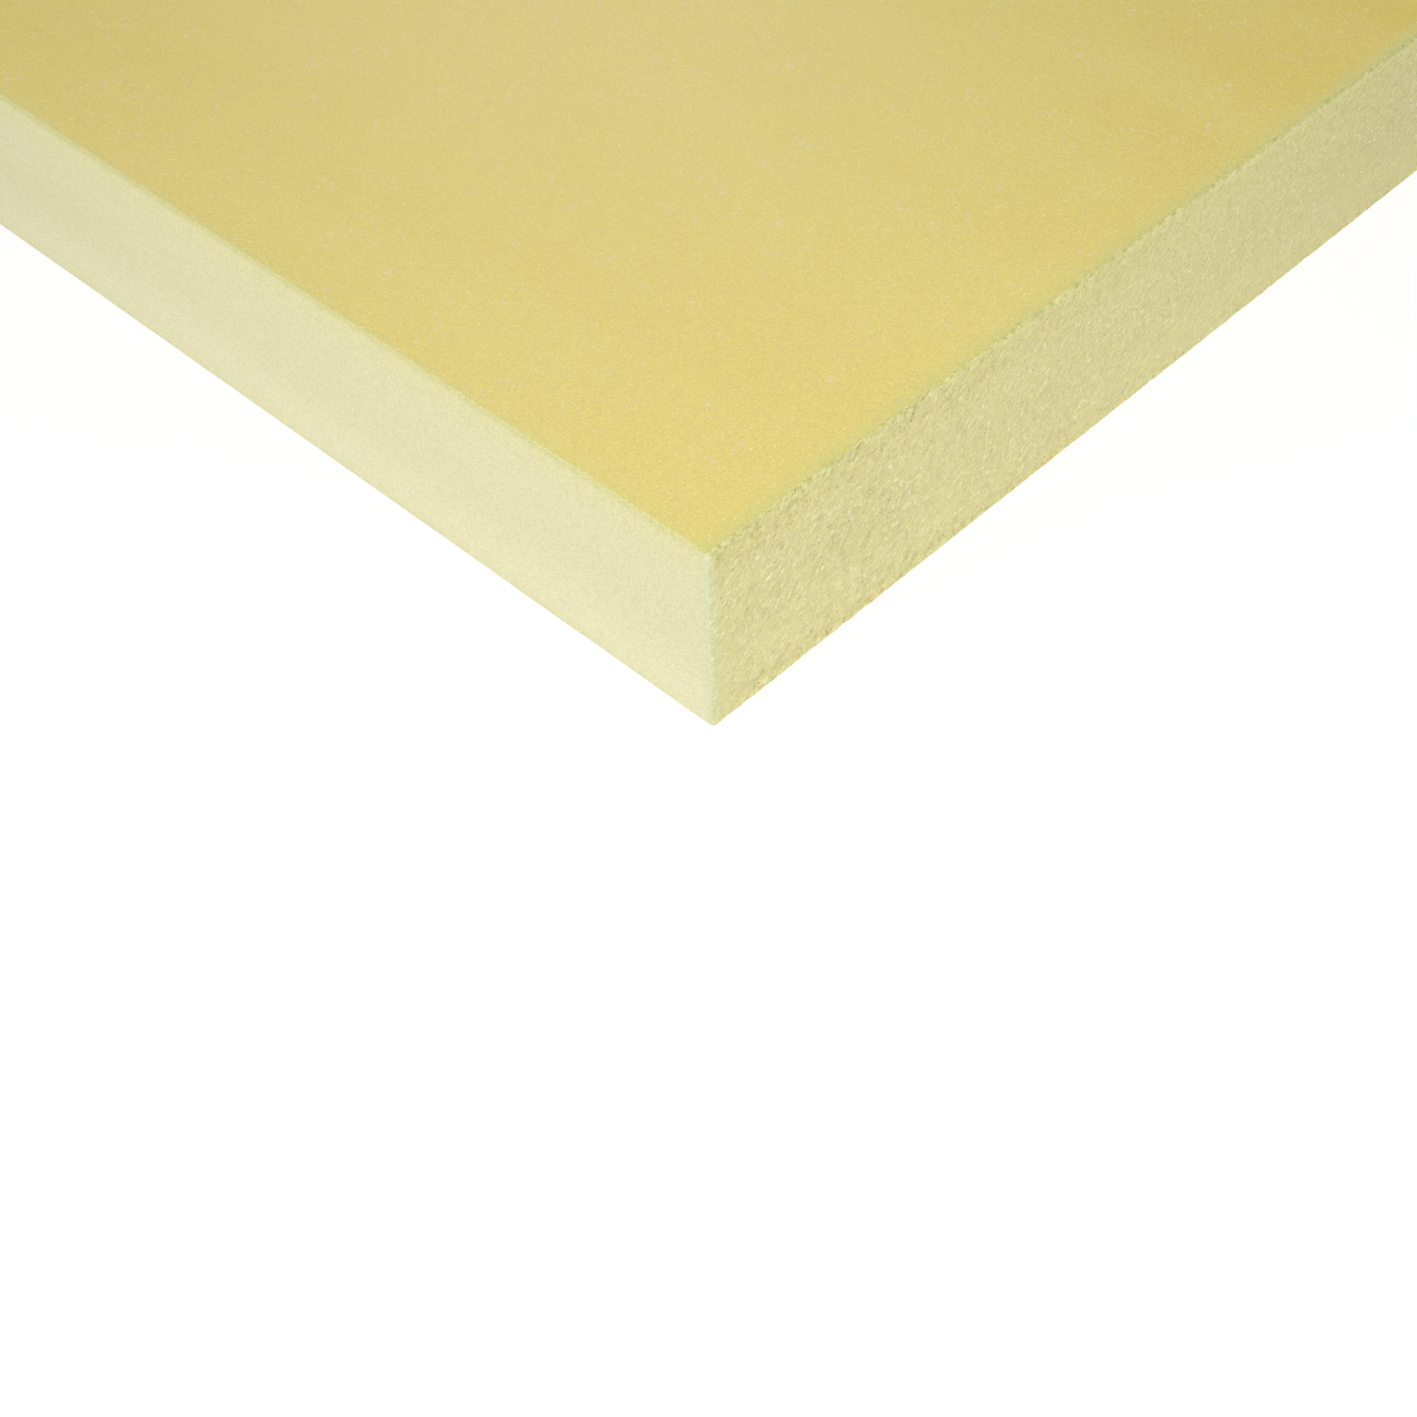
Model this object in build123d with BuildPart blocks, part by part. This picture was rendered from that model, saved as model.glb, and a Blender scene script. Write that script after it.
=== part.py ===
from build123d import *
import os

# Extruded polystyrene insulation board with butt edges on all four sides, lying flat.
# The foam was extruded along X. Y is the width of the board and Z its thickness.
# The origin is the middle of the underside.

# Driving sizes in millimetres
board_length = 1250.0
board_width = 600.0
board_thickness = 50.0
milled_arris_radius = 1.0  # left by the cutters that trim the two long sides
sawn_arris_bevel = 0.6  # the skins break back this far where the saw leaves the foam
upright_corner_radius = 0.8  # the four corners, dulled by handling


def trimmed_section():
    """The section that the slab keeps over its whole length, once its long sides are milled."""
    with BuildSketch(Plane.YZ) as section:
        with Locations((0, board_thickness / 2)):
            Rectangle(board_width, board_thickness)
        fillet(section.vertices(), milled_arris_radius)
    return section.sketch


def sawn_outline():
    """The slab seen from its long side, with the break that the cross-cut saw leaves at each end."""
    with BuildSketch(Plane.XZ) as outline:
        with Locations((0, board_thickness / 2)):
            Rectangle(board_length, board_thickness)
        chamfer(outline.vertices(), sawn_arris_bevel)
    return outline.sketch


def plan_outline():
    """The slab seen from above, with its four dulled corners."""
    with BuildSketch(Plane.XY) as plan:
        Rectangle(board_length, board_width)
        fillet(plan.vertices(), upright_corner_radius)
    return plan.sketch


# One piece of foam: the extruded section, cut off by the saw and then handled
with BuildPart() as board:
    extrude(trimmed_section(), amount=board_length / 2, both=True)
    extrude(sawn_outline(), amount=board_width / 2, both=True, mode=Mode.INTERSECT)
    extrude(plan_outline(), amount=board_thickness, mode=Mode.INTERSECT)
board.part.label = "board"

os.makedirs("parts", exist_ok=True)
export_step(board.part, "parts/board.step")
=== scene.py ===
import math

import bmesh
import bpy
from mathutils import Matrix, Vector, noise


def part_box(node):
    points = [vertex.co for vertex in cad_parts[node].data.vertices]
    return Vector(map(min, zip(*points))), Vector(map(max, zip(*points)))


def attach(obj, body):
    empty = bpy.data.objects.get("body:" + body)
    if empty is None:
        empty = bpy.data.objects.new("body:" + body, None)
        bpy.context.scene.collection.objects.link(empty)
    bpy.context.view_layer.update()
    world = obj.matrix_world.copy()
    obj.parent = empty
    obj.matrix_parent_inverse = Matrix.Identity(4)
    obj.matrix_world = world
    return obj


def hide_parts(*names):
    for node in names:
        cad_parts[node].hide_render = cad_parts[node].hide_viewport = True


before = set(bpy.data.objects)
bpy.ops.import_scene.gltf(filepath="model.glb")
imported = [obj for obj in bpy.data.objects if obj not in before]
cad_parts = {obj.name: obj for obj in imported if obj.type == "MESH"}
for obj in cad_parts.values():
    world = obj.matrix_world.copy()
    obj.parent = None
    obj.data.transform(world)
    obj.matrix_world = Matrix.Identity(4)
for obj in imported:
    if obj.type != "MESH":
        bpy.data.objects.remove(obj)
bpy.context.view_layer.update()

# The board's frame: X along the extrusion, Y across the board, Z up, in metres
mm = 0.001
low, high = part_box("board")
size = high - low
half_length = size.x / 2
half_width = size.y / 2
thickness = size.z

# Arrises
rim_radius = 0.8 * mm
lower_rim_radius = 0.35 * mm
upright_radius = 1.0 * mm
arris_segments = 4
lower_arris_segments = 3
upright_segments = 5

# How finely the block is cut. The cuts crowd towards the corner at high x and low y.
first_length_step = 4.5 * mm
length_step_growth = 1.034
first_width_step = 3.3 * mm
width_step_growth = 1.032
height_rows = 14
end_strips = (1.1 * mm, 1.5 * mm, 1.9 * mm, 2.4 * mm, 3.2 * mm, 5.0 * mm)  # cuts behind each end
relief_reach = 2 * end_strips[-1]  # the relief of an end stops this far behind it
near_end_cuts = 7
far_end_cuts = 2
on_cut = 0.001 * mm  # a vertex nearer to a cut than this is taken to lie on it

# Relief of the sawn ends, in millimetres
tear_angle = math.radians(42)
tear_length = 3.4
tear_width = 1.25
tear_depth = 0.37
tear_bend = 0.8
tear_bend_width = 6.0
lump_width = 2.3
lump_stretch = 1.3  # a lump is this much longer than wide
lump_depth = 0.20
swell_width = 9.0
swell_depth = 0.16
rough_patch_width = 26.0
rough_patch_height = 20.0
rough_band = 17.0  # the saw tore the foam more within this depth of the skins
smooth_border = 3.4  # the relief fades out this far from the upright arrises
border_overlap = 0.3  # and a little of it is left on them
upper_rim_relief = 0.75  # the share of the relief that is left on the arris of the upper skin
lower_rim_relief = 0.25
rim_relief_height = 1.2

# How strong the tears and lumps are, as shares
mean_roughness = 0.8
patch_roughness = 0.6
skin_roughness = 0.7
width_per_step = 1.2  # a mark narrower than the net's step over this isn't cut

# Bites that the saw broke out of the skins, in millimetres
bite_length = 1.5
bite_run_length = 8.0
mean_bite_reach = 0.75
bite_reach_spread = 1.5
bite_share = 0.55  # of the reach's spread, from bite to bite
bite_run_share = 0.8  # and from run to run
top_bite_depth = 0.42
bottom_bite_depth = 0.10
bite_depth_length = 2.6
mean_bite_depth = 0.7  # these two are shares of the depths above
bite_depth_spread = 0.9
bite_height = 1.5
bite_slope = 0.3
whole_corner = 2.0  # the skin is whole on the upright arrises, and fully bitten this far from them
undercut_start = 0.4
undercut_slope = 1.2
undercut_reach = 1.0

# Waves of the worn arrises, in millimetres
wobble_length = 14.0
wobble_depth = 0.12
wear_width = 1.5
wear_reach = 2.5

# Materials
cell_width = 0.36 * mm
torn_cell_width = 0.4 * mm

# The photographed corner, and the view of it: heading and pitch of the camera, and its place in thicknesses
corner = Vector((high.x, low.y, high.z))
view_heading = math.radians(45.59)
view_pitch = math.radians(47.84)
view_roll = math.radians(-2.11)
view_place = Vector((3.9564, -3.9019, 5.2627))
focal_length = 50.32
sensor = 36.0

# Light. Each lamp has its name, its target, its place from there, its width and the light that it adds.
world_light = 0.45
at_side = corner + Vector((-0.10, 0, -0.02))
at_end = corner + Vector((0, 0.07, -0.02))
at_far_half = Vector((-0.35, 0.10, high.z))
at_back = Vector((-0.1, high.y, thickness / 2))
at_far_end = Vector((low.x, 0, thickness / 2))
lamps = (
    ("over_corner", corner, (0.1, -0.1, 0.42), 0.3, 0.355),
    ("raking_end", at_end, (0.22, -0.06, 0.26), 0.16, 0.13),
    ("low_at_side", at_side, (0, -0.42, 0.10), 0.3, 0.27),
    ("low_at_end", at_end, (0.36, 0, 0.10), 0.3, 0.155),
    ("behind", corner, (-1.25, 1.20, 0.88), 0.65, 0.09),
    ("over_far_half", at_far_half, (-0.1, 0.1, 0.75), 0.8, 0.30),
    ("at_back", at_back, (0.6, 1.1, 0.42), 0.8, 0.18),
    ("at_far_end", at_far_end, (-1.1, -0.45, 0.42), 0.8, 0.20),
)


def break_arrises(bm, edges, width, segments):
    bmesh.ops.bevel(
        bm, geom=edges, offset=width, offset_type="OFFSET", segments=segments,
        profile=0.5, affect="EDGES", clamp_overlap=True, material=-1)


def graded_lines(first_step, growth, span):
    """Distances from the photographed corner, with steps that grow away from it."""
    lines = []
    place = 0.0
    step = first_step
    while place + step < span - first_step:
        place += step
        step *= growth
        lines.append(place)
    return lines


def cut_across(bm, place, normal):
    everything = bm.verts[:] + bm.edges[:] + bm.faces[:]
    bmesh.ops.bisect_plane(bm, geom=everything, dist=on_cut, plane_co=place, plane_no=normal)


def plain_block():
    """The block with its broken arrises, cut into a coarse net."""
    bm = bmesh.new()
    placed = Matrix.Translation((low + high) / 2) @ Matrix.Diagonal((*size, 1))
    bmesh.ops.create_cube(bm, size=1, matrix=placed)
    middle = low.z + thickness / 2
    upright_edges = [e for e in bm.edges if abs(e.verts[0].co.z - e.verts[1].co.z) > thickness / 2]
    break_arrises(bm, upright_edges, upright_radius, upright_segments)
    upper_rims = [e for e in bm.edges if min(v.co.z for v in e.verts) > middle]
    break_arrises(bm, upper_rims, rim_radius, arris_segments)
    lower_rims = [e for e in bm.edges if max(v.co.z for v in e.verts) < middle]
    break_arrises(bm, lower_rims, lower_rim_radius, lower_arris_segments)
    for line in graded_lines(first_width_step, width_step_growth, size.y):
        cut_across(bm, Vector((0, low.y + line, 0)), Vector((0, 1, 0)))
    for row in range(1, height_rows):
        cut_across(bm, Vector((0, 0, low.z + thickness * row / height_rows)), Vector((0, 0, 1)))
    for line in end_strips:
        cut_across(bm, Vector((high.x - line, 0, 0)), Vector((1, 0, 0)))
        cut_across(bm, Vector((low.x + line, 0, 0)), Vector((1, 0, 0)))
    for line in graded_lines(first_length_step, length_step_growth, size.x - 2 * relief_reach):
        cut_across(bm, Vector((high.x - relief_reach - line, 0, 0)), Vector((1, 0, 0)))
    return bm


def refine_end(bm, side, cuts):
    """Cuts the net of one sawn end finer, with the strips round it. Edges round an arris stay whole."""
    slack = 0.01 * mm
    nearly_all = 0.99
    edge_of_strips = half_length - end_strips[-1] - slack
    fine = []
    for edge in bm.edges:
        a, b = edge.verts[0].co, edge.verts[1].co
        run = b - a
        if min(a.x * side, b.x * side) < edge_of_strips:
            continue
        if max(abs(run.y), abs(run.z)) > nearly_all * run.length and run.length > upright_radius:
            fine.append(edge)
    bmesh.ops.subdivide_edges(bm, edges=fine, cuts=cuts, use_grid_fill=True)


def net_step(y, end_side):
    """The net's step along a sawn end at y, in millimetres."""
    from_corner = y - low.y / mm
    coarse = first_width_step / mm + (width_step_growth - 1) * from_corner
    return coarse / (1 + (near_end_cuts if end_side > 0 else far_end_cuts))


def smooth(value):
    """A soft step from 0 to 1."""
    value = min(1.0, max(0.0, value))
    return value * value * (3 - 2 * value)


def noise_at(a, b, c):
    """Smooth noise from -1 to 1. The numbers that follow the places only keep one pattern from another."""
    return noise.noise(Vector((a, b, c)))


def torn_depth(across, up, to_skin, seed, step):
    """How deep the torn foam lies behind the saw's plane. All in millimetres, step is that of the net."""
    bend = tear_bend * noise_at(across / tear_bend_width, up / tear_bend_width, seed)
    along = across * math.cos(tear_angle) + up * math.sin(tear_angle)
    beside = up * math.cos(tear_angle) - across * math.sin(tear_angle) + bend
    rough = mean_roughness
    rough += patch_roughness * noise_at(across / rough_patch_width, up / rough_patch_height, seed + 1)
    rough += skin_roughness * smooth(1 - to_skin / rough_band)
    tears = abs(noise_at(along / tear_length, beside / tear_width, seed + 3)) * 2
    lumps = 0.5 + noise_at(along / lump_width / lump_stretch, beside / lump_width, seed + 2)
    swell = 0.5 + 0.5 * noise_at(across / swell_width, up / swell_width, seed + 4)
    fine = smooth(width_per_step * tear_width / step - 1) * tears * tear_depth
    coarse = smooth(width_per_step * lump_width / step - 1) * lumps * lump_depth
    return max(0.0, rough * (fine + coarse) + swell * swell_depth)


def bite_reach(along, seed):
    """How far in from a sawn arris the skin is broken away."""
    single = noise_at(along / bite_length, seed, 0.3)
    run = noise_at(along / bite_run_length, seed, 5.3)
    return max(0.0, mean_bite_reach + bite_reach_spread * (bite_share * single + bite_run_share * run))


def bite_depth(along, skin_side, seed):
    """How far down the skin is broken where it is bitten."""
    depth = top_bite_depth if skin_side > 0 else bottom_bite_depth
    return depth * (mean_bite_depth + bite_depth_spread * noise_at(along / bite_depth_length, seed, 9.1))


def worn_depth(along, seed, variant, from_one_face, from_other_face):
    """How far a worn arris lies back. It varies in gentle waves along the arris."""
    wobble = 0.5 + 0.5 * noise_at(along / wobble_length, seed, variant)
    return wobble_depth * wobble * math.exp(-math.hypot(from_one_face, from_other_face) / wear_width)


def give_relief(bm):
    """Moves the vertices from the plain block to the torn ends, bitten skins and worn arrises."""
    for vertex in bm.verts:
        x, y, z = vertex.co / mm
        end_side = 1 if x > 0 else -1
        skin_side = 1 if z > thickness / mm / 2 else -1
        width_side = 1 if y > 0 else -1
        to_end = half_length / mm - abs(x)
        to_side = half_width / mm - abs(y)
        to_skin = min(z, thickness / mm - z)
        if to_end < relief_reach / mm:
            torn = torn_depth(y, z, to_skin, 10.0 * end_side, net_step(y, end_side))
            fade = max(0.0, 1 - to_end / (rim_radius / mm))
            at_rim = upper_rim_relief if skin_side > 0 else lower_rim_relief
            from_upright = (to_side + border_overlap) / smooth_border
            from_rim = at_rim + to_skin / rim_relief_height
            inner = min(1.0, from_upright, from_rim)
            seed = 31.0 * end_side + 7.0 * skin_side
            depth = bite_depth(y, skin_side, seed)
            reach = bite_reach(y, seed)
            bitten = smooth((reach - to_end) / bite_slope) * smooth(1 - to_skin / bite_height)
            bitten *= smooth(to_side / whole_corner)
            undercut = smooth((reach - to_skin - undercut_start) / undercut_slope)
            undercut *= max(0.0, 1 - to_end / undercut_reach)
            vertex.co.x -= end_side * (fade * inner * torn + undercut * depth) * mm
            vertex.co.z -= skin_side * bitten * depth * mm
        if to_side < wear_reach and to_skin < wear_reach:
            worn = worn_depth(x, 3.0 * width_side + 11.0 * skin_side, 0.7, to_side, to_skin)
            vertex.co.y -= width_side * worn * mm
            vertex.co.z -= skin_side * worn * mm
        if to_side < wear_reach and to_end < wear_reach:
            worn = worn_depth(z, 5.0 * width_side + 17.0 * end_side, 1.9, to_side, to_end)
            vertex.co.y -= width_side * worn * mm
            vertex.co.x -= end_side * worn * mm


def name_faces(bm):
    """Gives each face the skin, the milled side or the sawn end as its material."""
    for face in bm.faces:
        normal = face.normal
        if abs(normal.z) > max(abs(normal.x), abs(normal.y)):
            face.material_index = 0
        elif abs(normal.y) > abs(normal.x):
            face.material_index = 1
        else:
            face.material_index = 2
        face.smooth = True


def make_board(skin, milled, sawn):
    bm = plain_block()
    refine_end(bm, 1, near_end_cuts)
    refine_end(bm, -1, far_end_cuts)
    give_relief(bm)
    bm.normal_update()
    name_faces(bm)
    bmesh.ops.recalc_face_normals(bm, faces=bm.faces)
    mesh = bpy.data.meshes.new("foam_board")
    bm.to_mesh(mesh)
    bm.free()
    for material in (skin, milled, sawn):
        mesh.materials.append(material)
    board = bpy.data.objects.new("foam_board", mesh)
    bpy.context.scene.collection.objects.link(board)
    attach(board, "root")
    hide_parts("board")
    return board


class Nodes:
    """A short way to add nodes to a tree and link them."""

    def __init__(self, tree):
        self.tree = tree

    def add(self, kind, values=None, **settings):
        node = self.tree.nodes.new(kind)
        for name, value in settings.items():
            setattr(node, name, value)
        for name, value in (values or {}).items():
            self.feed(node, name, value)
        return node

    def link(self, output, socket):
        self.tree.links.new(output, socket)

    def feed(self, node, name, value):
        socket = node.inputs[name]
        if isinstance(value, bpy.types.NodeSocket):
            self.link(value, socket)
        else:
            socket.default_value = value

    def math(self, operation, *values):
        node = self.add("ShaderNodeMath", operation=operation)
        for place, value in enumerate(values):
            self.feed(node, place, value)
        return node.outputs[0]

    def mix(self, share, first, second, kind="MIX"):
        node = self.add("ShaderNodeMix", data_type="RGBA", blend_type=kind)
        self.feed(node, 0, share)
        self.feed(node, 6, first)
        self.feed(node, 7, second)
        return node.outputs[2]

    def ramp(self, value, start, stop, low_value=0.0, high_value=1.0):
        node = self.add("ShaderNodeMapRange", interpolation_type="SMOOTHSTEP")
        self.feed(node, "Value", value)
        self.feed(node, "From Min", start)
        self.feed(node, "From Max", stop)
        self.feed(node, "To Min", low_value)
        self.feed(node, "To Max", high_value)
        return node.outputs["Result"]

    def stretched(self, place, scale, turn=(0, 0, 0), shift=(0, 0, 0)):
        node = self.add("ShaderNodeMapping")
        self.feed(node, "Vector", place)
        self.feed(node, "Scale", scale)
        self.feed(node, "Rotation", turn)
        self.feed(node, "Location", shift)
        return node.outputs[0]

    def noise(self, place, width, detail=2.0, rough=0.5):
        node = self.add("ShaderNodeTexNoise")
        self.feed(node, "Vector", place)
        self.feed(node, "Scale", 1 / width)
        self.feed(node, "Detail", detail)
        self.feed(node, "Roughness", rough)
        return node.outputs["Fac"]


def new_group(name, inputs, outputs):
    """A shader node group. Its sockets are given as name, kind and, for an input, the value."""
    group = bpy.data.node_groups.new(name, "ShaderNodeTree")
    for socket_name, kind, value in inputs:
        socket = group.interface.new_socket(socket_name, in_out="INPUT", socket_type=kind)
        if value is not None:
            socket.default_value = value
    for socket_name, kind in outputs:
        group.interface.new_socket(socket_name, in_out="OUTPUT", socket_type=kind)
    nodes = Nodes(group)
    return nodes, nodes.add("NodeGroupInput").outputs, nodes.add("NodeGroupOutput").inputs


def arris_group():
    """Masks that are 1 on an arris and fade out further in.

    Milled is that of the arrises along X, Sawn of those along Y and Upright of those along Z.
    Nicks marks small breaks on the sawn arrises of the upper skin, where painted shade darkens them.
    """
    nodes, given, result = new_group(
        "Near arris",
        [("Position", "NodeSocketVector", None),
         ("Reach", "NodeSocketFloat", 2.0 * mm),
         ("Raggedness", "NodeSocketFloat", 0.5 * mm)],
        [("Milled", "NodeSocketFloat"),
         ("Sawn", "NodeSocketFloat"),
         ("Upright", "NodeSocketFloat"),
         ("Nicks", "NodeSocketFloat")])
    parts = nodes.add("ShaderNodeSeparateXYZ", {0: given["Position"]}).outputs
    to_end = nodes.math("SUBTRACT", half_length, nodes.math("ABSOLUTE", parts[0]))
    to_side = nodes.math("SUBTRACT", half_width, nodes.math("ABSOLUTE", parts[1]))
    above_middle = nodes.math("SUBTRACT", parts[2], thickness / 2)
    to_skin = nodes.math("SUBTRACT", thickness / 2, nodes.math("ABSOLUTE", above_middle))
    wander = nodes.math("SUBTRACT", nodes.noise(given["Position"], width=2.2 * mm, detail=3.0), 0.5)
    shift = nodes.math("MULTIPLY", wander, given["Raggedness"])
    pairs = {"Milled": (to_side, to_skin), "Sawn": (to_end, to_skin), "Upright": (to_end, to_side)}
    for name, (a, b) in pairs.items():
        distance = nodes.math("ADD", nodes.math("MAXIMUM", a, b), shift)
        nodes.link(nodes.ramp(distance, 0.0, given["Reach"], 1.0, 0.0), result[name])
    broken = nodes.ramp(nodes.noise(given["Position"], width=1.5 * mm, detail=2.0), 0.55, 0.63)
    on_arris = nodes.ramp(nodes.math("MAXIMUM", to_end, to_skin), 0.4 * mm, 1.5 * mm, 1.0, 0.0)
    upper = nodes.ramp(above_middle, -thickness / 4, thickness / 4)
    nicks = nodes.math("MULTIPLY", nodes.math("MULTIPLY", broken, on_arris), upper)
    nodes.link(nicks, result["Nicks"])
    return nodes.tree


def depth_group():
    """How near a place is to a skin.

    Under fades from 1 at the upper skin to 0, and is weaker at the lower one as painted light from the
    floor. Low rises from 0 at half height to 1 at the lower skin. Bared is 1 where the skin is gone.
    """
    thinnest_skin = 0.10 * mm
    thickest_skin = 0.17 * mm
    unevenness = 0.14 * mm
    nodes, given, result = new_group(
        "Depth under skin",
        [("Position", "NodeSocketVector", None),
         ("Reach", "NodeSocketFloat", 12.0 * mm)],
        [("Under", "NodeSocketFloat"),
         ("Low", "NodeSocketFloat"),
         ("Bared", "NodeSocketFloat")])
    height = nodes.add("ShaderNodeSeparateXYZ", {0: given["Position"]}).outputs[2]
    below = nodes.math("SUBTRACT", thickness, height)
    depth = nodes.math("MINIMUM", height, below)
    under_upper = nodes.ramp(below, 0.0, given["Reach"], 1.0, 0.0)
    # Weaker at the lower skin: painted light from the floor pales the tints there
    over_lower = nodes.ramp(height, 0.0, given["Reach"], 0.3, 0.0)
    nodes.link(nodes.math("MAXIMUM", under_upper, over_lower), result["Under"])
    nodes.link(nodes.ramp(height, thickness / 2, 0.0), result["Low"])
    uneven = nodes.math("MULTIPLY", nodes.noise(given["Position"], width=0.7 * mm, detail=1.0), unevenness)
    bared = nodes.ramp(nodes.math("ADD", depth, uneven), thinnest_skin, thickest_skin)
    nodes.link(bared, result["Bared"])
    return nodes.tree


def cell_group():
    """The cells of the foam.

    Grain differs from cell to cell, Glints marks the few that get a painted glint, as if they caught
    the light, and Domes is 1 in the middle of each.
    """
    nodes, given, result = new_group(
        "Foam cells",
        [("Position", "NodeSocketVector", None),
         ("Cell Width", "NodeSocketFloat", 0.35 * mm)],
        [("Grain", "NodeSocketFloat"),
         ("Glints", "NodeSocketFloat"),
         ("Domes", "NodeSocketFloat")])
    scale = nodes.math("DIVIDE", 1.0, given["Cell Width"])
    cells = nodes.add("ShaderNodeTexVoronoi", {"Vector": given["Position"], "Scale": scale})
    chosen = nodes.add("ShaderNodeSeparateColor", {0: cells.outputs["Color"]}).outputs
    centre = nodes.ramp(cells.outputs["Distance"], 0.2, 0.65, 1.0, 0.0)
    bright = nodes.ramp(chosen[1], 0.9, 0.97)
    nodes.link(chosen[0], result["Grain"])
    nodes.link(nodes.math("MULTIPLY", bright, centre), result["Glints"])
    nodes.link(centre, result["Domes"])
    return nodes.tree


def streak_group():
    """Fine Streaks along X and Clouds some centimetres wide, marks of the extrusion, and a broader Tone for
    a deeper, warmer gold that is partly the skin's own tone and partly painted shade.
    """
    tone_shift = (5.442, 6.315, 5.95)  # it lays the tones as they are on the photographed corner
    nodes, given, result = new_group(
        "Extrusion streaks",
        [("Position", "NodeSocketVector", None)],
        [("Streaks", "NodeSocketFloat"),
         ("Clouds", "NodeSocketFloat"),
         ("Tone", "NodeSocketFloat")])
    streaked = nodes.stretched(given["Position"], (0.04, 1, 1))
    clouded = nodes.stretched(given["Position"], (0.3, 1, 1))
    toned = nodes.stretched(given["Position"], (0.6, 1, 1), shift=tone_shift)
    nodes.link(nodes.noise(streaked, width=2.5 * mm, detail=3.0), result["Streaks"])
    nodes.link(nodes.noise(clouded, width=45 * mm, detail=3.0, rough=0.55), result["Clouds"])
    tone = nodes.noise(toned, width=300 * mm, detail=0.6)
    nodes.link(nodes.ramp(tone, 0.33, 0.68), result["Tone"])
    return nodes.tree


def spot_group():
    """Small round spots, far apart, for pits painted dark as shade and for painted sparkles: 1 in a spot, 0
    outside.
    """
    nodes, given, result = new_group(
        "Stray spots",
        [("Position", "NodeSocketVector", None),
         ("Spacing", "NodeSocketFloat", 20.0 * mm),
         ("Radius", "NodeSocketFloat", 0.3 * mm)],
        [("Mask", "NodeSocketFloat")])
    scale = nodes.math("DIVIDE", 1.0, given["Spacing"])
    spots = nodes.add("ShaderNodeTexVoronoi", {"Vector": given["Position"], "Scale": scale})
    reach = nodes.math("MULTIPLY", given["Radius"], scale)
    inside = nodes.ramp(spots.outputs["Distance"], nodes.math("MULTIPLY", reach, 0.5), reach, 1.0, 0.0)
    nodes.link(inside, result["Mask"])
    return nodes.tree


def start_material(name):
    material = bpy.data.materials.new(name)
    material.use_nodes = True
    nodes = Nodes(material.node_tree)
    shader = material.node_tree.nodes["Principled BSDF"]
    position = nodes.add("ShaderNodeTexCoord").outputs["Object"]
    return material, nodes, shader, position


def use_group(nodes, group, position, **values):
    node = nodes.add("ShaderNodeGroup", node_tree=group)
    nodes.feed(node, "Position", position)
    for name, value in values.items():
        nodes.feed(node, name.replace("_", " "), value)
    return node.outputs


def bump(nodes, shader, layers):
    """Layers of relief, each given as its height from 0 to 1 and its depth in metres."""
    normal = None
    for height, depth in layers:
        node = nodes.add("ShaderNodeBump", {"Height": height, "Distance": depth, "Strength": 1.0})
        if normal is not None:
            nodes.feed(node, "Normal", normal)
        normal = node.outputs[0]
    nodes.feed(shader, "Normal", normal)


def grained(nodes, colour, grain, spread):
    """The colour made lighter or darker from cell to cell, by up to the spread."""
    dark = (1 - spread, 1 - spread, 1 - spread, 1)
    light = (1 + spread, 1 + spread, 1 + spread, 1)
    return nodes.mix(1.0, colour, nodes.mix(grain, dark, light), "MULTIPLY")


def tinted(nodes, colour, tint, mask, share):
    """The colour with the tint over it, by up to the share where the mask is 1."""
    return nodes.mix(nodes.math("MULTIPLY", mask, share), colour, tint)


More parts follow.
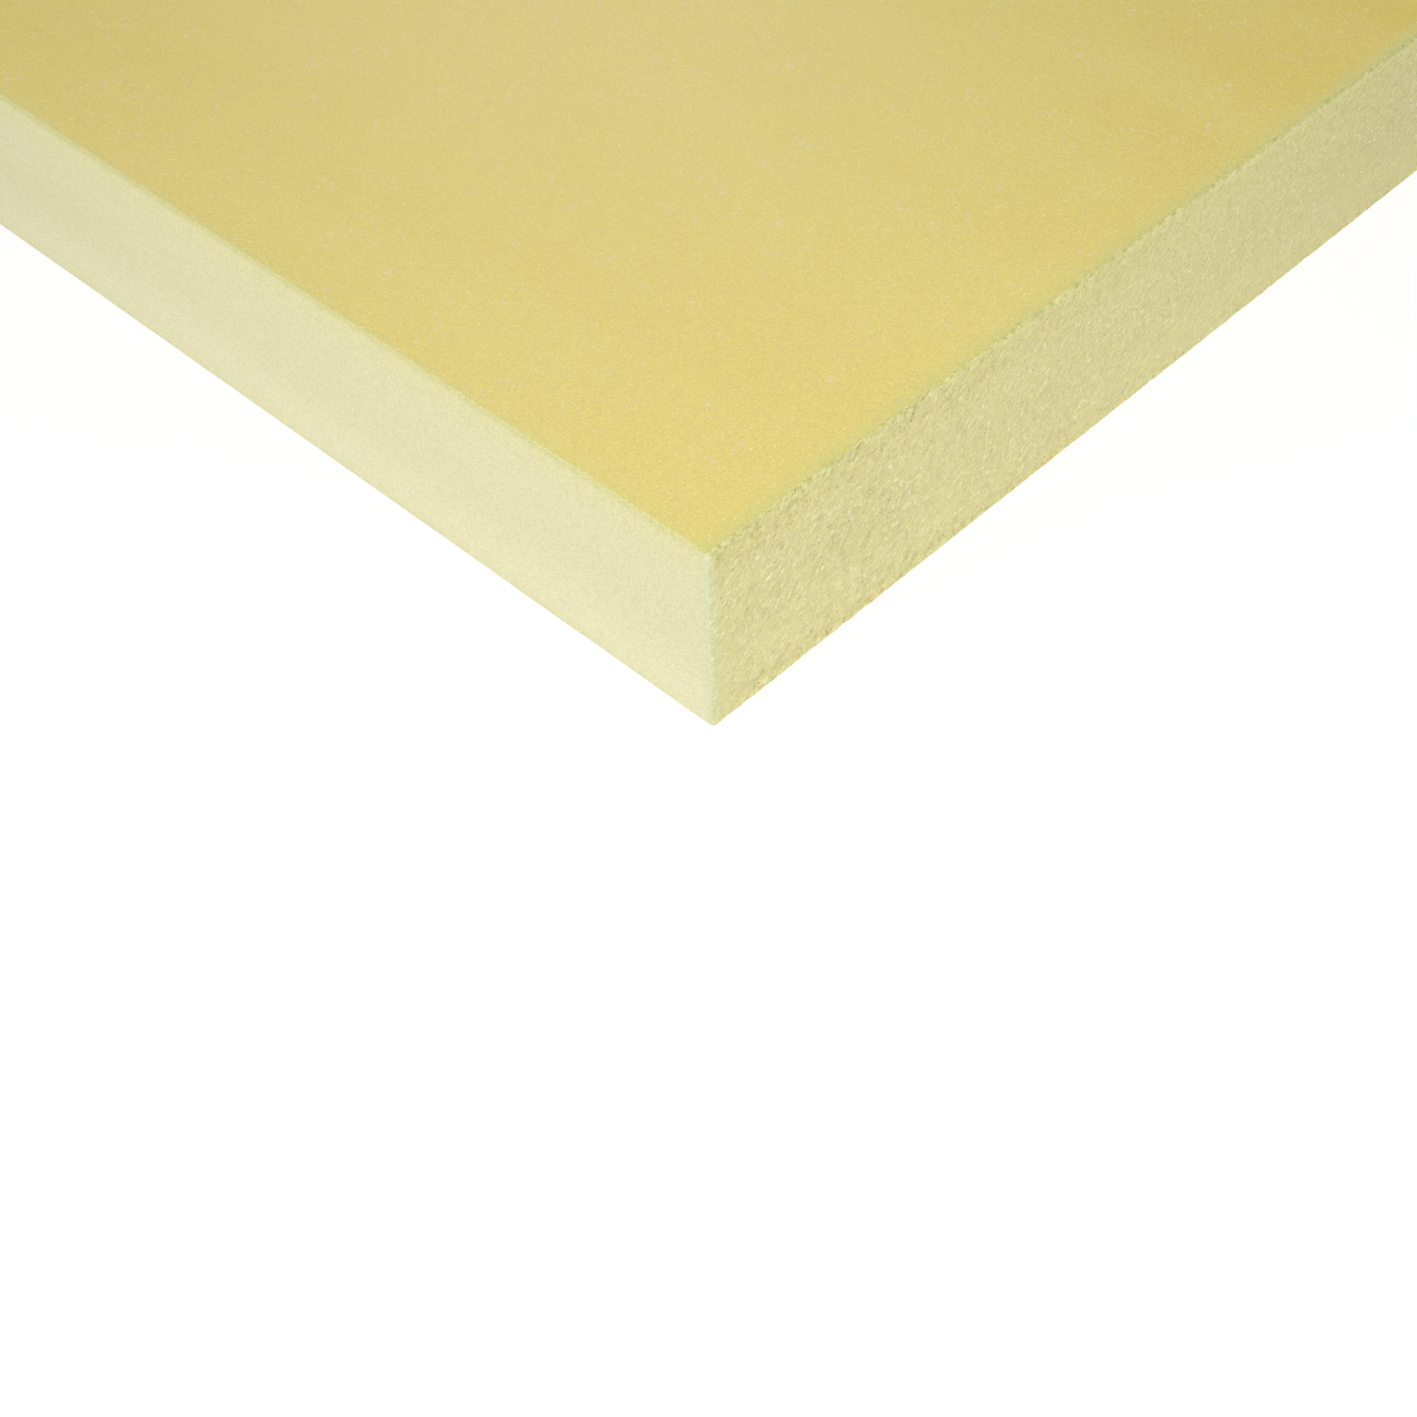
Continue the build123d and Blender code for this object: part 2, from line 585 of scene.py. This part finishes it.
def skin_material(groups):
    """The golden skin that the die leaves on both faces: closed cells, a soft sheen and pale flecks."""
    gold = (0.745, 0.611, 0.172, 1)
    warm_gold = (0.70, 0.548, 0.10, 1)
    light_gold = (0.76, 0.639, 0.198, 1)
    pale_fleck = (0.765, 0.65, 0.36, 1)
    glint_colour = (0.97, 0.90, 0.56, 1)
    sparkle_colour = (1.0, 0.97, 0.74, 1)
    green_gold = (0.71, 0.634, 0.207, 1)
    olive = (0.64, 0.605, 0.202, 1)
    nick_shade = (0.43, 0.45, 0.15, 1)
    bared_foam = (0.65, 0.615, 0.207, 1)
    pale_line = (0.77, 0.73, 0.34, 1)
    pit_shade = (0.36, 0.30, 0.11, 1)
    material, nodes, shader, position = start_material("extruded_skin")
    cells = use_group(nodes, groups["cells"], position, Cell_Width=cell_width)
    streaks = use_group(nodes, groups["streaks"], position)
    depth = use_group(nodes, groups["depth"], position)
    arris = use_group(nodes, groups["arris"], position, Reach=6.5 * mm, Raggedness=3.5 * mm)
    pits = use_group(nodes, groups["spots"], position, Spacing=38 * mm, Radius=0.32 * mm)
    sparkles = use_group(nodes, groups["spots"], position, Spacing=6.5 * mm, Radius=0.33 * mm)
    # The skin itself
    # The Tone paints a deeper, warmer gold in broad patches: partly the skin's own tone, partly painted
    # shade where the skin shows less sheen
    colour = nodes.mix(streaks["Tone"], gold, warm_gold)
    colour = tinted(nodes, colour, light_gold, nodes.ramp(streaks["Clouds"], 0.3, 0.7), 0.5)
    fleck_places = nodes.noise(nodes.stretched(position, (0.55, 1, 1)), width=1.1 * mm, detail=1.0)
    fleck_crowd = nodes.noise(position, width=14 * mm, detail=2.0)
    flecks = nodes.math(
        "MULTIPLY", nodes.ramp(fleck_places, 0.62, 0.72), nodes.ramp(fleck_crowd, 0.42, 0.6))
    colour = tinted(nodes, colour, pale_fleck, flecks, 0.7)
    # Its arrises, where it thins out and the foam shows
    colour = tinted(nodes, colour, green_gold, nodes.math("POWER", arris["Milled"], 2.5), 0.9)
    colour = tinted(nodes, colour, bared_foam, depth["Bared"], 1.0)
    on_milled = nodes.math("MULTIPLY", nodes.math("POWER", arris["Milled"], 4.0), depth["Bared"])
    colour = tinted(nodes, colour, pale_line, on_milled, 0.9)
    colour = tinted(nodes, colour, olive, arris["Sawn"], 0.85)
    # Painted shade in the small breaks of the upper sawn arris
    colour = tinted(nodes, colour, nick_shade, arris["Nicks"], 0.65)
    # Grain, painted glints and sparkles, and small pits painted dark as shade
    colour = grained(nodes, colour, cells["Grain"], 0.078)
    colour = tinted(nodes, colour, glint_colour, cells["Glints"], 0.65)
    colour = tinted(nodes, colour, sparkle_colour, sparkles["Mask"], 0.6)
    colour = tinted(nodes, colour, pit_shade, pits["Mask"], 0.8)
    nodes.feed(shader, "Base Color", colour)
    nodes.feed(shader, "Roughness", nodes.ramp(cells["Grain"], 0.0, 1.0, 0.40, 0.54))
    nodes.feed(shader, "Specular IOR Level", 0.32)
    bump(nodes, shader, [
        (streaks["Streaks"], 0.05 * mm),
        (cells["Domes"], 0.03 * mm),
    ])
    return material


def milled_material(groups):
    """The long side, milled smooth: pale cream with a very fine grain."""
    cream = (0.785, 0.745, 0.45, 1)
    pale_cream = (0.80, 0.762, 0.478, 1)
    floor_lit_cream = (0.865, 0.832, 0.56, 1)
    under_skin = (0.79, 0.75, 0.40, 1)
    rim_green = (0.70, 0.655, 0.29, 1)
    arris_green = (0.72, 0.745, 0.46, 1)
    material, nodes, shader, position = start_material("milled_side")
    cells = use_group(nodes, groups["cells"], position, Cell_Width=cell_width)
    streaks = use_group(nodes, groups["streaks"], position)
    depth = use_group(nodes, groups["depth"], position, Reach=12.0 * mm)
    arris = use_group(nodes, groups["arris"], position, Reach=3.4 * mm, Raggedness=1.6 * mm)
    colour = nodes.mix(nodes.ramp(streaks["Clouds"], 0.3, 0.7), cream, pale_cream)
    # Painted light: lighter towards the lower skin, as if lit from the floor
    colour = tinted(nodes, colour, floor_lit_cream, depth["Low"], 0.9)
    colour = tinted(nodes, colour, under_skin, depth["Under"], 0.95)
    upper_rim = nodes.math("MULTIPLY", nodes.math("POWER", arris["Milled"], 3.0), depth["Under"])
    colour = tinted(nodes, colour, rim_green, upper_rim, 0.9)
    colour = tinted(nodes, colour, arris_green, arris["Upright"], 0.95)
    colour = grained(nodes, colour, cells["Grain"], 0.09)
    nodes.feed(shader, "Base Color", colour)
    nodes.feed(shader, "Roughness", nodes.ramp(cells["Grain"], 0.0, 1.0, 0.62, 0.78))
    bump(nodes, shader, [(cells["Domes"], 0.03 * mm)])
    return material


def sawn_material(groups):
    """The sawn end: open cells, torn along slanting streaks, with crumbs and small pits, and painted
    highlights on the crumbs and painted shade in the hollows.
    """
    straw = (0.765, 0.70, 0.332, 1)
    floor_lit_straw = (0.85, 0.785, 0.40, 1)
    hollow_shade = (0.60, 0.53, 0.22, 1)
    crumb_highlight = (0.96, 0.93, 0.63, 1)
    under_skin = (0.76, 0.69, 0.305, 1)
    rim_shade = (0.60, 0.565, 0.20, 1)
    arris_green = (0.68, 0.695, 0.39, 1)
    pale_rim = (0.835, 0.83, 0.375, 1)
    nick_shade = (0.47, 0.47, 0.16, 1)
    warm_speck = (0.83, 0.60, 0.20, 1)
    pit_shade = (0.34, 0.29, 0.12, 1)
    flake_width = 0.72 * mm
    drawn_out = (1, 0.38, 1)  # the torn foam is stretched this much along the tears
    material, nodes, shader, position = start_material("sawn_end")
    cells = use_group(nodes, groups["cells"], position, Cell_Width=torn_cell_width)
    depth = use_group(nodes, groups["depth"], position, Reach=14.0 * mm)
    upright = use_group(nodes, groups["arris"], position, Reach=4.6 * mm, Raggedness=3.0 * mm)
    rim = use_group(nodes, groups["arris"], position, Reach=3.2 * mm, Raggedness=3.0 * mm)
    pits = use_group(nodes, groups["spots"], position, Spacing=24 * mm, Radius=0.4 * mm)
    # Flakes, tears and crumbs, all drawn out along the slant of the tears
    turned = nodes.stretched(position, (1, 1, 1), turn=(-tear_angle, 0, 0))
    along = nodes.stretched(turned, drawn_out)
    flakes = nodes.add("ShaderNodeTexVoronoi", {"Vector": along, "Scale": 1 / flake_width})
    domes = nodes.ramp(flakes.outputs["Distance"], 0.1, 0.8, 1.0, 0.0)
    tears = nodes.noise(along, width=0.8 * mm, detail=2.0)
    crumbs = nodes.noise(along, width=0.5 * mm, detail=1.0)
    relief = nodes.math("ADD", nodes.math("MULTIPLY", tears, 0.6), nodes.math("MULTIPLY", crumbs, 0.4))
    # The foam, from the upper skin down to the lower one, painted lighter towards the bottom as painted
    # light from the floor, and its arrises
    colour = tinted(nodes, straw, floor_lit_straw, depth["Low"], 0.9)
    colour = tinted(nodes, colour, under_skin, depth["Under"], 0.9)
    colour = tinted(nodes, colour, arris_green, upright["Upright"], 0.9)
    colour = tinted(nodes, colour, pale_rim, rim["Sawn"], 0.75)
    upper_rim = nodes.math("MULTIPLY", nodes.math("POWER", rim["Sawn"], 6.0), depth["Under"])
    colour = tinted(nodes, colour, rim_shade, upper_rim, 0.65)
    # Painted shade in the small breaks of the upper sawn arris
    colour = tinted(nodes, colour, nick_shade, rim["Nicks"], 0.6)
    specks = nodes.ramp(nodes.noise(position, width=1.6 * mm, detail=2.0), 0.52, 0.62)
    low_rim = nodes.math("MULTIPLY", rim["Sawn"], nodes.math("POWER", depth["Low"], 4.0))
    colour = tinted(nodes, colour, warm_speck, nodes.math("MULTIPLY", specks, low_rim), 0.8)
    # Painted shade in the hollows of the relief and painted highlights on its crests; near the upper skin
    # the shade is darker and the highlights fainter
    upper = use_group(nodes, groups["depth"], position, Reach=24.0 * mm)["Under"]
    hollow_shade_share = nodes.math("ADD", 0.18, nodes.math("MULTIPLY", upper, 0.25))
    crumb_highlight_share = nodes.math("SUBTRACT", 1.0, nodes.math("MULTIPLY", upper, 0.7))
    colour = tinted(nodes, colour, hollow_shade, nodes.ramp(relief, 0.45, 0.34), hollow_shade_share)
    colour = tinted(nodes, colour, crumb_highlight, nodes.ramp(relief, 0.56, 0.65), crumb_highlight_share)
    colour = grained(nodes, colour, cells["Grain"], 0.085)
    # Painted glints on a few cells
    colour = tinted(nodes, colour, crumb_highlight, cells["Glints"], 0.6)
    # Painted shade: small pits painted dark
    colour = tinted(nodes, colour, pit_shade, pits["Mask"], 0.85)
    nodes.feed(shader, "Base Color", colour)
    nodes.feed(shader, "Roughness", nodes.ramp(relief, 0.3, 0.7, 0.85, 0.65))
    smooth_at_arris = nodes.math("SUBTRACT", 1.0, nodes.math("MULTIPLY", upright["Upright"], 0.85))
    bump(nodes, shader, [
        (nodes.math("MULTIPLY", relief, smooth_at_arris), 1.0 * mm),
        (nodes.math("MULTIPLY", domes, smooth_at_arris), 0.13 * mm),
    ])
    return material


def make_camera():
    data = bpy.data.cameras.new("camera")
    data.lens = focal_length
    data.sensor_width = sensor
    data.clip_start = 10 * mm
    data.clip_end = 50.0
    camera = bpy.data.objects.new("camera", data)
    turn = (Matrix.Rotation(view_heading, 4, "Z")
            @ Matrix.Rotation(math.pi / 2 - view_pitch, 4, "X")
            @ Matrix.Rotation(view_roll, 4, "Z"))
    camera.matrix_world = Matrix.Translation(corner + view_place * thickness) @ turn
    bpy.context.scene.collection.objects.link(camera)
    bpy.context.scene.camera = camera


def background_rays(nodes):
    """1 for the rays that show the background: the camera's, and those of reflections and of glass."""
    path = nodes.add("ShaderNodeLightPath").outputs
    reflected = nodes.math("MAXIMUM", path["Is Glossy Ray"], path["Is Transmission Ray"])
    return nodes.math("MAXIMUM", path["Is Camera Ray"], reflected)


def floor_material():
    """White. Its picture is its own light and a share of the lamps', so the board's shadow stays in it."""
    white = (1, 1, 1, 1)
    paint_white = (0.82, 0.82, 0.82, 1)
    cast_up = 0.18  # the light that it throws on the board by itself
    near_light = 0.84  # the light of its picture, by the board and far from it
    far_light = 1.0
    lamp_share = (0.20, 0.20, 0.20, 1)
    material = bpy.data.materials.new("floor_white")
    material.use_nodes = True
    tree = material.node_tree
    nodes = Nodes(tree)
    tree.nodes.remove(tree.nodes["Principled BSDF"])
    paint = nodes.add("ShaderNodeBsdfDiffuse", {"Color": paint_white})
    lit_from_below = nodes.add("ShaderNodeEmission", {"Color": white, "Strength": cast_up})
    bounce = nodes.add("ShaderNodeAddShader", {0: lit_from_below.outputs[0], 1: paint.outputs[0]})
    place = nodes.add("ShaderNodeTexCoord").outputs["Object"]
    away = nodes.add("ShaderNodeVectorMath", {0: place}, operation="LENGTH").outputs["Value"]
    own_light = nodes.ramp(away, size.x, 3 * size.x, near_light, far_light)
    glow = nodes.add("ShaderNodeEmission", {"Color": white, "Strength": own_light})
    shadowed = nodes.add("ShaderNodeBsdfDiffuse", {"Color": lamp_share})
    seen = nodes.add("ShaderNodeAddShader", {0: glow.outputs[0], 1: shadowed.outputs[0]})
    choice = nodes.add("ShaderNodeMixShader")
    nodes.feed(choice, 0, background_rays(nodes))
    nodes.feed(choice, 1, bounce.outputs[0])
    nodes.feed(choice, 2, seen.outputs[0])
    nodes.feed(tree.nodes["Material Output"], "Surface", choice.outputs[0])
    return material


def make_floor():
    floor_size = 30.0
    gap = 0.02 * mm
    bm = bmesh.new()
    bmesh.ops.create_grid(bm, x_segments=1, y_segments=1, size=floor_size / 2)
    bmesh.ops.translate(bm, verts=bm.verts, vec=(0, 0, low.z - gap))
    mesh = bpy.data.meshes.new("floor")
    bm.to_mesh(mesh)
    bm.free()
    mesh.materials.append(floor_material())
    floor = bpy.data.objects.new("floor", mesh)
    bpy.context.scene.collection.objects.link(floor)


def make_world():
    """An even white surround. It is full white in the picture and in reflections, and dimmer as a light."""
    world = bpy.data.worlds.new("studio")
    bpy.context.scene.world = world
    world.use_nodes = True
    nodes = Nodes(world.node_tree)
    background = world.node_tree.nodes["Background"]
    nodes.feed(background, "Color", (1, 1, 1, 1))
    nodes.feed(background, "Strength", nodes.ramp(background_rays(nodes), 0.0, 1.0, world_light, 1.0))


def add_lamp(name, target, away, width, light):
    """A round soft lamp. Its light is what it adds, at the target, to a white card that faces it."""
    place = target + Vector(away)
    reach = (target - place).length
    data = bpy.data.lights.new(name, "AREA")
    data.shape = "DISK"
    data.size = width
    data.energy = light * (math.pi * reach) ** 2
    lamp = bpy.data.objects.new(name, data)
    lamp.location = place
    lamp.rotation_euler = (target - place).to_track_quat("-Z", "Y").to_euler()
    lamp.visible_camera = False
    bpy.context.scene.collection.objects.link(lamp)


effects = {
    "arris": arris_group(),
    "depth": depth_group(),
    "cells": cell_group(),
    "streaks": streak_group(),
    "spots": spot_group(),
}
make_camera()
make_board(skin_material(effects), milled_material(effects), sawn_material(effects))
make_floor()
make_world()
for lamp in lamps:
    add_lamp(*lamp)
bpy.context.scene.view_settings.view_transform = "Standard"
